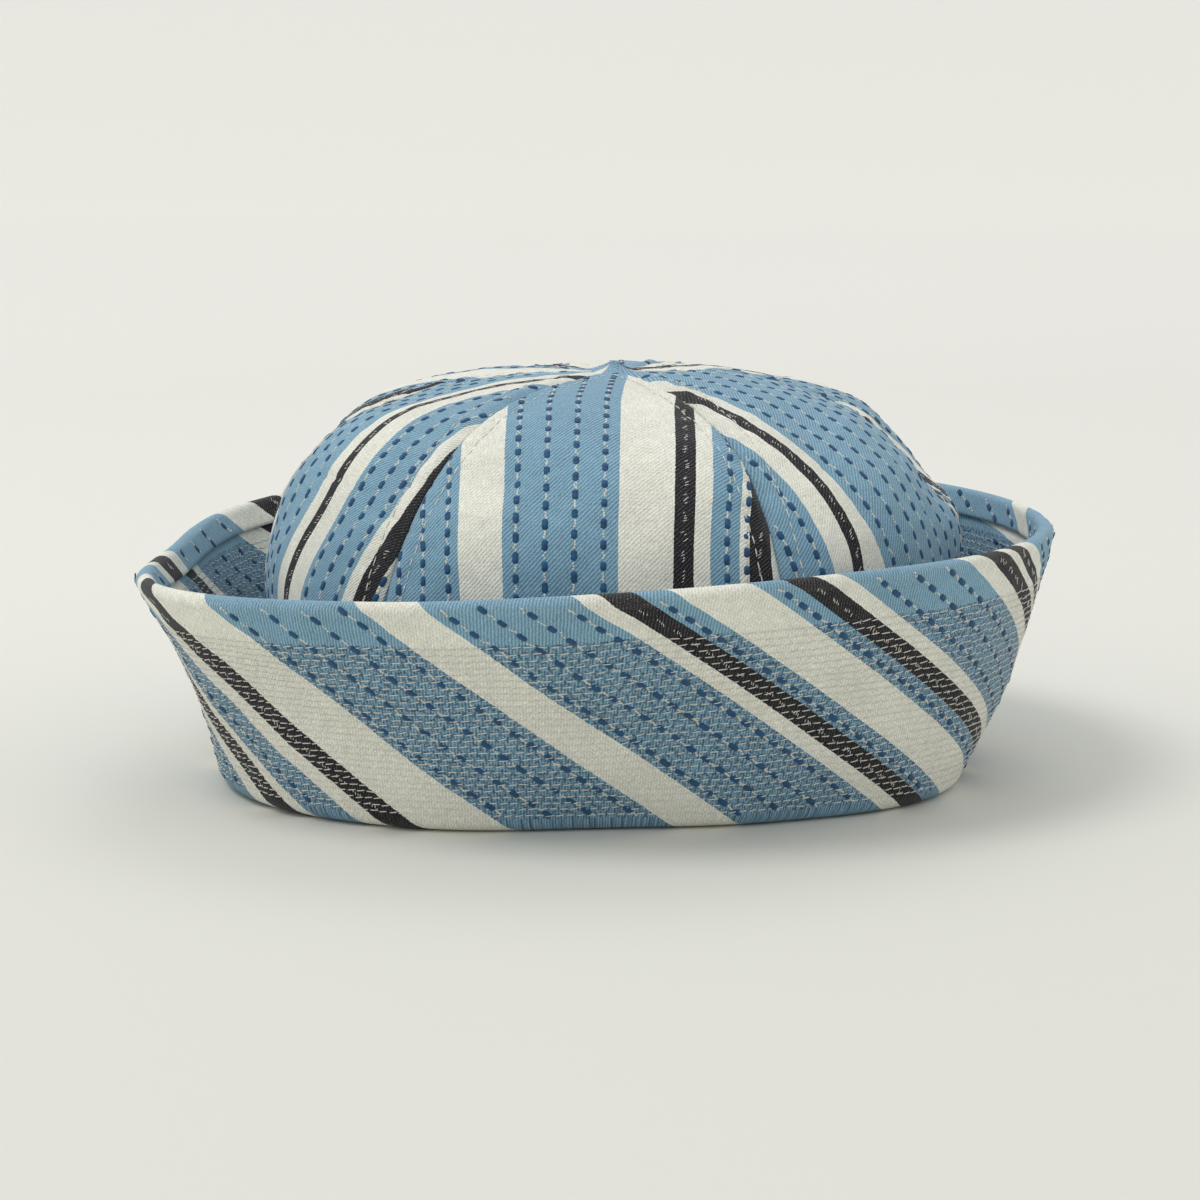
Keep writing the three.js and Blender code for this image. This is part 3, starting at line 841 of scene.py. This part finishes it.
# %% Where floats may lie
LOWEST_FLOAT, TIP_CLEAR = 6, 7
wall = slice(wall_first, rim_first + ROLL_ROWS + LIP_ROWS - 2)
off_rolls = np.ones(outer_points[wall].shape[:2], bool)
off_rolls[:2] = off_rolls[WALL_ROWS + 1:WALL_ROWS + ROLL_ROWS - 1] = off_rolls[-1] = False
lining = slice(0, INNER_ROWS - 12)


def lay_on_cuff(seed, **how):
    return lay_floats(outer_points[wall], outer_cloth[wall, :-1], CUFF_TICKING, off_rolls, seed, **how)


def lay_on_crown(seed, clear, **how):
    """Floats on all six panels, at least so far clear of the seams."""
    laid = []
    for index, (points, cloth, edge, _) in surfaces.items():
        ticking = SIDE_TICKING if index == 1 else TICKING
        from_tip = np.hypot(points[..., 0] - APEX_SHIFT, points[..., 1])
        allowed = (edge > clear) & (points[..., 2] > LOWEST_FLOAT) & (from_tip > TIP_CLEAR)
        laid.append(lay_floats(points, cloth, ticking, allowed, seed + index, **how))
    return np.concatenate(laid)


def lay_on_lining(seed):
    """Floats on the inner cloth, facing the crown."""
    points = inner_points[lining]
    laid = lay_floats(points, inner_cloth[lining, :-1], TICKING, np.ones(points.shape[:2], bool), seed)
    laid[:, 6:] *= np.sign(-(laid[:, :2] * laid[:, 6:8]).sum(1, keepdims=True))
    laid[:, :3] += laid[:, 6:] * .1
    return laid


print("share of the cuff where dashes may lie:", round(float(off_rolls.mean()), 2))

# %% [markdown]
# ## Dashes, specks and flecks
# Each dash is a blunt float of dark blue. White weft shows as specks in the gap after it, and as small slanting
# flecks along the middle of a black stripe. A shader could draw these, but they stand proud of the cloth and are
# as large as the stitches, so they are rods too.

# %% Dash, speck and fleck pieces
def dash_piece(name, spots, seed, length, width):
    draw = np.random.default_rng(seed)
    return rods(name, spots, draw.uniform(.86, 1.12, len(spots)) * length,
                width=width, height=.42, sides=6, cuts=[(-.93, .5), (-.62, 1), (.62, 1), (.93, .5)])


def speck_piece(name, lay, seed):
    """White specks of weft that show in the gap after each dash."""
    draw = np.random.default_rng(seed)
    spots = np.concatenate([lay(share) for share in (.37, .5, .63)])
    spots[:, :3] += np.cross(spots[:, 3:6], spots[:, 6:]) * draw.normal(0, .18, (len(spots), 1))
    return rods(name, spots, draw.uniform(.6, 1.2, len(spots)),
                width=.72, height=.3, sides=4, cuts=[(-.45, .9), (.45, .9)])


def fleck_piece(name, found, seed):
    """Small slanting clusters of pale weft along the middle of each black stripe."""
    draw = np.random.default_rng(seed)
    uneven = lambda middle, spread: draw.normal(middle, spread, (len(found), 1))
    centre, way, normal = np.split(found, 3, axis=1)
    beside = np.cross(way, normal)
    spots = np.concatenate([
        np.hstack([centre + way * (step + uneven(0, .12)) + beside * uneven(.5, .25),
                   beside + way * uneven(.7, .25), normal]) for step in (-1.2, -.45, .3, 1.05)])
    return rods(name, spots, draw.uniform(.7, 1.5, len(spots)),
                width=.24, height=.2, sides=4, cuts=[(-.5, .9), (.5, .9)])


crown_dashes = dash_piece("crown_dashes", lay_on_crown(92, .9), 101, 2.75, 1.7)
cuff_dashes = dash_piece("cuff_outer_dashes", lay_on_cuff(91, lift=.09), 102, 3.05, 1.65)
lining_dashes = dash_piece("cuff_inner_dashes", lay_on_lining(93), 107, 3.0, 1.4)
crown_specks = speck_piece("crown_specks", lambda share: lay_on_crown(92, .9, offset=share), 103)
cuff_specks = speck_piece("cuff_outer_specks", lambda share: lay_on_cuff(91, lift=.07, offset=share), 104)
crown_flecks = fleck_piece("crown_black_stripe_flecks", lay_on_crown(192, 2.0, kinds=("black",)), 105)
cuff_flecks = fleck_piece("cuff_outer_black_stripe_flecks", lay_on_cuff(190, kinds=("black",), lift=.08), 106)

# %% [markdown]
# ## Shared shading: the twill weave
# All the cloth is one twill: fine slanting ribs, each made of threads that are never quite the same shade, with
# pale flecks where the weft shows through. A photograph of cloth could be wrapped on, but it would blur close
# up and show its edges. So the twill is built once as a node group that takes the stripe's colour and puts out a
# colour, a height and a roughness, and each material sets its own rib width, slant and flecks. A formula is long
# in nodes, so a wire is given the signs + - * / here, and each sign adds a math node.

# %% Node helpers
class Wire:
    """What comes out of a node. A sign between wires, or a wire and a number, adds a math node."""

    def __init__(self, board, source):
        self.board, self.source = board, source

    def __add__(self, other):
        return self.board.maths("ADD", self, other)

    def __sub__(self, other):
        return self.board.maths("SUBTRACT", self, other)

    def __mul__(self, other):
        return self.board.maths("MULTIPLY", self, other)

    def __truediv__(self, other):
        return self.board.maths("DIVIDE", self, other)


class Board:
    """A small helper that adds nodes to a tree and joins them."""

    def __init__(self, tree):
        self.tree = tree

    def feed(self, target, value):
        if isinstance(value, Wire):
            self.tree.links.new(value.source, target)
        else:
            target.default_value = value

    def node(self, kind, fed, **settings):
        """A new node with its settings, whose inputs are fed by name or number."""
        made = self.tree.nodes.new("ShaderNode" + kind)
        for key, value in settings.items():
            setattr(made, key, value)
        for key, value in fed.items():
            self.feed(made.inputs[key], value)
        return made

    def wire(self, kind, fed={}, output=0, **settings):
        return Wire(self, self.node(kind, fed, **settings).outputs[output])

    def parts(self, vector):
        return [Wire(self, output) for output in self.node("SeparateXYZ", {0: vector}).outputs]

    def group(self, tree, fed):
        return {output.name: Wire(self, output) for output in self.node("Group", fed, node_tree=tree).outputs}

    def maths(self, operation, *values, clamp=False):
        return self.wire("Math", dict(enumerate(values)), operation=operation, use_clamp=clamp)

    def noise(self, vector, scale, detail=2.0):
        return self.wire("TexNoise", {"Vector": vector, "Scale": scale, "Detail": detail}, "Fac")

    def blend(self, share, first, second, mode="MIX"):
        return self.wire("Mix", {0: share, 6: first, 7: second}, 2, data_type="RGBA", blend_type=mode)

    def combine(self, x, y, z=0.0):
        return self.wire("CombineXYZ", {0: x, 1: y, 2: z})

    def steps(self, value, low, high):
        return self.wire("MapRange", {0: value, 1: low, 2: high}, interpolation_type="SMOOTHSTEP")

    def bump(self, strength, distance, height):
        return self.wire("Bump", {"Strength": strength, "Distance": distance, "Height": height})


# %% Groups and colours
def new_group(name, inputs, outputs):
    """A node group with named sockets: its board, its inputs as wires, and its outputs to be fed."""
    group = bpy.data.node_groups.new(name, "ShaderNodeTree")
    for direction, sockets in (("INPUT", inputs), ("OUTPUT", outputs)):
        for title, (kind, value) in sockets.items():
            made = group.interface.new_socket(name=title, in_out=direction, socket_type="NodeSocket" + kind)
            if value is not None:
                made.default_value = value
    board, given = Board(group), group.nodes.new("NodeGroupInput").outputs
    wires = {title: Wire(board, given[title]) for title in inputs}
    return board, wires, group.nodes.new("NodeGroupOutput").inputs


def linear(red, green, blue):
    """A colour as painters pick it, from 0 to 255, as the light values that shaders use."""
    light = lambda v: ((v / 255 + .055) / 1.055) ** 2.4 if v > 10 else v / 255 / 12.92
    return light(red), light(green), light(blue), 1


print("middle grey as light:", round(linear(128, 128, 128)[0], 3))


# %% Weave group
def weave_group():
    board, given, out = new_group(
        "twill_weave",
        {"Cloth": ("Vector", None), "Stripe Colour": ("Color", (.5, .5, .5, 1)), "Rib Width": ("Float", .85),
         "Rib Slant": ("Float", .8), "Flecks": ("Float", .3), "Wear": ("Float", 0.0)},
        {"Colour": ("Color", None), "Height": ("Float", None), "Roughness": ("Float", None)})
    cloth, slant, flecks = given["Cloth"], given["Rib Slant"], given["Flecks"]
    across, along, _ = board.parts(cloth)
    lean = across * board.maths("COSINE", slant) + along * board.maths("SINE", slant)
    bend = board.noise(cloth, .35, 3.0) * .5
    rib = board.maths("SINE", (lean + bend) / given["Rib Width"] * (2 * math.pi)) * .5 + .5
    yarn = board.noise(board.combine(across * 2.6, along * .28), 1.0, 3.0)
    weft = board.noise(board.combine(across * .22, along * 2.6), 1.0, 3.0)
    grit, broad = board.noise(cloth, 3.4), board.noise(cloth, .05, 3.0)
    threads = yarn * .5 + weft * .5
    shade = (threads - .5) * 1.1 + (broad - .5) * .28 + (rib - .5) * (flecks * .85 + .17)
    shade = shade + (grit - .5) * 1.15 + 1.0
    toned = board.blend(1.0, given["Stripe Colour"], board.combine(shade, shade, shade), "MULTIPLY")
    fleck = board.steps(grit * .8 + rib * .22, .56, .74) * flecks
    flecked = board.blend(fleck, toned, linear(214, 216, 208))
    worn = given["Wear"] * board.steps(grit, .35, .7) * .07
    board.feed(out["Colour"], board.blend(worn, flecked, linear(216, 214, 204)))
    board.feed(out["Height"], rib * .6 + threads * .7)
    board.feed(out["Roughness"], threads * .18 + .8)
    return board.tree


twill_weave = weave_group()
print("nodes in the weave:", len(twill_weave.nodes))

# %% [markdown]
# ## Shared shading: painted quilting shade and twisted thread
# The cuff's outer and inner cloth alike carry painted shade: darker along each row of quilting and at each
# stitch's ends, where the grooves lie in shade, and in small patches. Thread is a few plies twisted together, and
# all the threads share that twist. Both are groups of their own, so that a change in one place reaches every
# material that uses it.

# %% Quilting shade and thread groups
def quilt_shade_group():
    """Painted shade of the quilting: dark at a stitch's ends and along each row, where the grooves lie in shade,
    and in small patches.
    """
    board, given, out = new_group(
        "quilt_painted_shade", {"Quilt": ("Vector", None), "Flecks": ("Float", .3)}, {"Share": ("Float", None)})
    stitch, row, _ = board.parts(given["Quilt"])
    wave = lambda turns: board.maths("ABSOLUTE", board.maths("COSINE", turns * math.pi))
    ends = board.maths("POWER", wave(stitch + board.maths("ROUND", row) * ROW_OFFSET), 24.0)
    rows = board.maths("POWER", wave(row), 6.0) * .55
    patch = board.steps(board.noise(board.combine(stitch * 3.6, row * 2.1), 1.0), .46, .62) * .95
    dark = board.maths("MAXIMUM", board.maths("MAXIMUM", ends, rows) * .6, patch)
    below_band = board.maths("GREATER_THAN", row, -.4)
    # The Flecks input sets how strong the painted shade is on each stripe: least on white, most on blue.
    shade_by_stripe = board.maths("ADD", given["Flecks"] * 2.6, .1, clamp=True)
    board.feed(out["Share"], dark * .74 * below_band * shade_by_stripe)
    return board.tree


def thread_group():
    """A few plies twisted together: slanting bands along the thread, made uneven by slow noise."""
    board, given, out = new_group(
        "thread_twist",
        {"Place": ("Vector", None), "Run": ("Float", 0.0), "Ply": ("Float", .5),
         "Light": ("Color", (.8, .8, .8, 1)), "Dark": ("Color", (.4, .4, .4, 1))},
        {"Colour": ("Color", None), "Height": ("Float", None)})
    turn = given["Run"] * (2 * math.pi) / given["Ply"] + board.parts(given["Place"])[2] * 9000.0
    twist = board.maths("SINE", turn) * .5 + .5
    uneven = board.noise(given["Place"], 420.0, 3.0)
    share = board.maths("ADD", twist * .4, uneven * .6, clamp=True)
    board.feed(out["Colour"], board.blend(share, given["Dark"], given["Light"]))
    board.feed(out["Height"], twist)
    return board.tree


quilt_painted_shade, thread_twist = quilt_shade_group(), thread_group()
print("nodes in the groups:", len(quilt_painted_shade.nodes), len(thread_twist.nodes))

# %% [markdown]
# ## Cloth materials
# Each material reads the cloth's coordinates, finds its stripe with a colour ramp of hard steps, and passes that
# through the weave group. The Principled shader stays in the material, with a little sheen for the cotton's fuzz.

# %% Cloth materials
BLUE, WHITE, BLACK = linear(122, 163, 188), linear(232, 232, 222), linear(34, 32, 38)
COLOURS = {"blue": BLUE, "white": WHITE, "dashed": WHITE, "black": BLACK}
# Each stripe's amount of pale flecks. It also sets how strong the painted quilting shade is.
FLECK_AND_SHADE_AMOUNTS = {"blue": (.42, .42, .42, 1), "white": (0, 0, 0, 1), "dashed": (0, 0, 0, 1), "black": (.2, .2, .2, 1)}


def stripe_ramp(board, across, ticking, colours):
    start, stripes = ticking
    period = repeat_of(stripes)
    made = board.node("ValToRGB", {0: board.maths("FRACT", (across - start) / period)})
    ramp = made.color_ramp
    ramp.interpolation = "CONSTANT"
    edge = 0.0
    for number, (width, kind) in enumerate(stripes):
        stop = ramp.elements[number] if number < 2 else ramp.elements.new(edge / period)
        stop.position = edge / period
        stop.color = colours[kind]
        edge += width
    return Wire(board, made.outputs[0])


def new_material(name, constants):
    """A material, its board, and the sockets of its Principled shader, some of them set to constant values."""
    made = bpy.data.materials.new(name)
    made.use_nodes = True
    sockets = made.node_tree.nodes["Principled BSDF"].inputs
    for title, value in constants.items():
        sockets[title].default_value = value
    return made, Board(made.node_tree), sockets


def cloth_material(name, ticking, rib_width, rib_slant, bump, with_quilt_shade=False):
    made, board, shader = new_material(
        name, {"Sheen Weight": .12, "Sheen Roughness": .5, "Specular IOR Level": .22})
    coordinates = board.wire("UVMap", uv_map="cloth")
    across = board.parts(coordinates)[0] + (board.noise(coordinates, 1.6) - .5) * .5
    flecks = stripe_ramp(board, across, ticking, FLECK_AND_SHADE_AMOUNTS)
    weave = board.group(twill_weave, {
        "Cloth": coordinates, "Stripe Colour": stripe_ramp(board, across, ticking, COLOURS), "Flecks": flecks,
        "Wear": board.wire("Attribute", output="Fac", attribute_name="wear"),
        "Rib Width": rib_width, "Rib Slant": rib_slant})
    finish = weave["Colour"]
    if with_quilt_shade:
        # Painted shade: the quilting's rows and stitch ends are darkened in the cloth's colour.
        quilt_shade = board.group(quilt_painted_shade, {"Quilt": board.wire("UVMap", uv_map="quilt"), "Flecks": flecks})
        finish = board.blend(quilt_shade["Share"], finish, linear(42, 72, 104), "MULTIPLY")
    board.feed(shader["Base Color"], finish)
    board.feed(shader["Roughness"], weave["Roughness"])
    board.feed(shader["Normal"], board.bump(bump, .00022, weave["Height"]))
    return made


crown_cloth = cloth_material("crown_cloth", TICKING, .85, -.75, .75)
side_cloth = cloth_material("crown_side_cloth", SIDE_TICKING, .85, -.75, .75)
cuff_cloth_finish = cloth_material("cuff_cloth", CUFF_TICKING, .75, -.92, .7, with_quilt_shade=True)
lining_cloth = cloth_material("cuff_lining_cloth", TICKING, .75, -.92, .7, with_quilt_shade=True)
print("cloth materials:", 4)

# %% [markdown]
# ## Thread materials
# Four threads show: white ones in the quilting and the topstitching, a cooler white inside the cuff, and the
# blue of the dashes. One function makes them all from the twist group, since only their colours, their ply and
# their roughness differ.

# %% Thread materials
def thread_material(name, light, dark, ply, roughness):
    made, board, shader = new_material(name, {"Roughness": roughness, "Sheen Weight": .1})
    run = board.parts(board.wire("UVMap", uv_map="cloth"))[0]
    twist = board.group(thread_twist, {
        "Place": board.wire("TexCoord", output="Object"), "Run": run, "Ply": ply,
        "Light": linear(*light), "Dark": linear(*dark)})
    board.feed(shader["Base Color"], twist["Colour"])
    board.feed(shader["Normal"], board.bump(.5, .0001, twist["Height"]))
    return made


quilting_thread = thread_material("quilting_thread", (240, 237, 230), (214, 210, 202), .42, .62)
lining_thread = thread_material("lining_thread", (222, 228, 228), (182, 192, 200), .42, .65)
topstitch_thread = thread_material("topstitch_thread", (236, 236, 228), (196, 196, 188), .5, .6)
dash_thread = thread_material("dash_thread", (30, 98, 146), (6, 42, 76), .6, .75)
print("thread materials:", 4)

# %% [markdown]
# ## Hand over the pieces
# Each cloth piece stands for its CAD node, and the threads are added to them. Everything rides on the one body,
# since a cloth cap has no joint.

# %% Ride, replace and finish
def dress(piece, finish, node=None):
    piece.data.materials.append(finish)
    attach(piece, "root")
    if node:
        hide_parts(node)


for index, piece in panels.items():
    dress(piece, side_cloth if index == 1 else crown_cloth, f"crown_panel_{index}")
dress(cuff_outer, cuff_cloth_finish, "cuff_outer")
dress(cuff_inner, lining_cloth, "cuff_inner")
for finish, pieces in (
    (quilting_thread, (quilt_outer, crown_flecks, cuff_flecks)),
    (lining_thread, (quilt_inner,)),
    (topstitch_thread, (topstitching, crown_specks, cuff_specks)),
    (dash_thread, (crown_dashes, cuff_dashes, lining_dashes)),
):
    for piece in pieces:
        dress(piece, finish)
total = sum(sum(len(p.vertices) - 2 for p in piece.data.polygons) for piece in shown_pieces())
print("triangles in all:", total)

# %% [markdown]
# ## Studio
# The cap stands on a pale floor that curves up far away on every side, so no horizon shows from anywhere. Its
# paint holds a painted shade: a little darker in front of the cap than toward the back.
# A wide soft light high on the left shapes the folds, and a weak one behind lifts the crown's top edge. Far from
# the cap the floor also glows a little, which keeps it even.

# %% Floor
FLOOR_REACH, FLOOR_CURVE, FLOOR_SIDES, FLOOR_DROP = 2.6, 1.3, 96, .0003


def studio_floor():
    profile = [(.4, 0), (1.2, 0), (FLOOR_REACH, 0)]
    profile += [(FLOOR_REACH + FLOOR_CURVE * math.sin(t), FLOOR_CURVE - FLOOR_CURVE * math.cos(t))
                for t in np.linspace(.1, 1.3, 12)]
    turns = [2 * math.pi * k / FLOOR_SIDES for k in range(FLOOR_SIDES)]
    points = [(r * math.cos(turn), r * math.sin(turn), z - FLOOR_DROP) for r, z in profile for turn in turns]
    faces = grid_quads(len(profile), FLOOR_SIDES, flip=True, wrap=True).tolist() + [list(range(FLOOR_SIDES))]
    mesh = bpy.data.meshes.new("studio_floor")
    mesh.from_pydata(points, [], faces)
    mesh.polygons.foreach_set("use_smooth", np.full(len(faces), True))
    paint, board, shader = new_material("floor_paint", {
        "Roughness": .9, "Specular IOR Level": .1, "Emission Color": (1, 1, .955, 1)})
    here = board.wire("TexCoord", output="Object")
    # Painted shade: the floor's colour is darker in front of the cap and lighter toward the back.
    toward_back = board.steps(board.parts(here)[1], -.3, .3)
    board.feed(shader["Base Color"], board.blend(toward_back, (.757, .757, .70, 1), (.806, .806, .762, 1)))
    reach = board.wire("VectorMath", {0: here}, "Value", operation="LENGTH")
    far_share = board.maths("DIVIDE", reach - .95, 1.8, clamp=True)
    board.feed(shader["Emission Strength"], far_share * .148)
    mesh.materials.append(paint)
    floor = place_in_scene("studio_floor", mesh)
    floor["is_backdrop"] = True


studio_floor()


# %% Lights
def soft_light(name, place, size, power, colour):
    light = bpy.data.lights.new(name, "AREA")
    light.shape, light.size, light.energy, light.color = "DISK", size, power, colour
    place_in_scene(name, light, place, (0, 0, .05))


soft_light("key_light", (-1.3, -.35, 2.6), 1.3, 24.0, (1.0, .99, .965))
soft_light("back_light", (.3, 1.5, 2.2), 1.4, 7.0, (.98, .99, 1.0))
world = bpy.data.worlds.new("studio_air")
world.use_nodes = True
air = world.node_tree.nodes["Background"].inputs
air["Color"].default_value, air["Strength"].default_value = (1.0, 1.0, .99, 1), .7
bpy.context.scene.world = world
bpy.context.scene.view_settings.view_transform = "Standard"
print("lights set")

# %% [markdown]
# ## Compare the sizes
# The dressed cap's box is printed beside the frame's box.

# %% Sizes and finish
dressed_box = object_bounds()
for axis in range(3):
    sizes = [[round(corner[axis] * 1000, 1) for corner in box] for box in (cad_box, dressed_box)]
    print("XYZ"[axis], "frame", sizes[0], "dressed", sizes[1])
